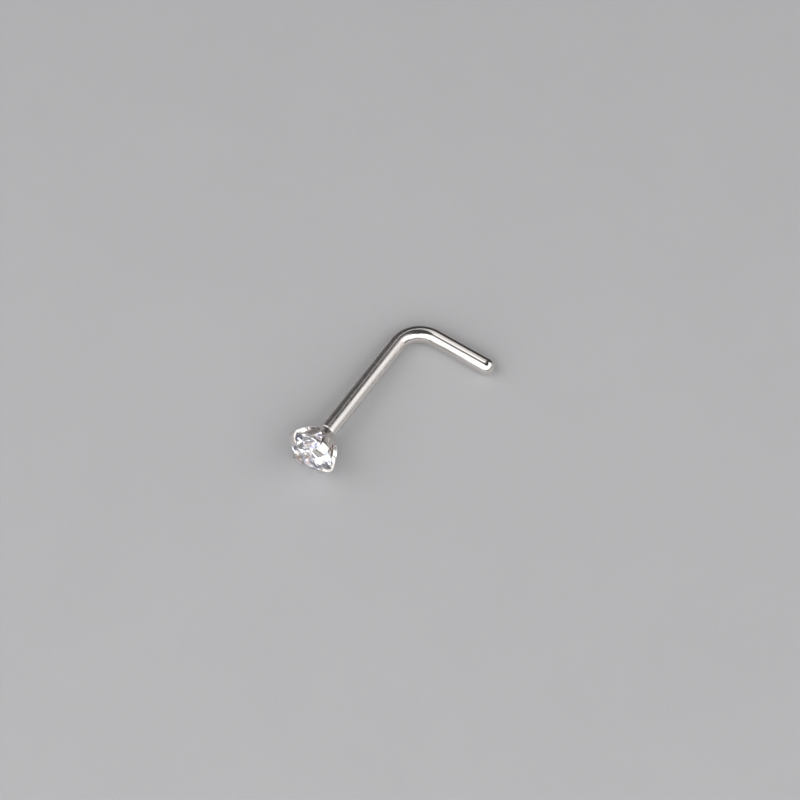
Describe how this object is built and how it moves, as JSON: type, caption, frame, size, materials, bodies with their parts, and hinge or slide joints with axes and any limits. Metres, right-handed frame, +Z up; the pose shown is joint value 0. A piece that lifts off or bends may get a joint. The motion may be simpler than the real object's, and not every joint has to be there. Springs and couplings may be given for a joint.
{
  "type": "nose stud",
  "caption": "L-shaped nose stud lying at rest: a bent polished steel wire with a claw-set round clear stone.",
  "frame": {"origin": "under the middle of the lying stud, on the surface that it rests on", "axes": "+X along the foot towards its tip, +Y from the head to the bend, +Z up"},
  "size_m": [0.0054, 0.009, 0.0023],
  "materials": {
    "steel": "polished surgical steel with fine drawing lines along the wire",
    "stone": "clear cubic zirconia, polished flat facets"
  },
  "bodies": {
    "root": {"wire_and_setting": "steel", "stone": "stone"}
  },
  "joints": []
}
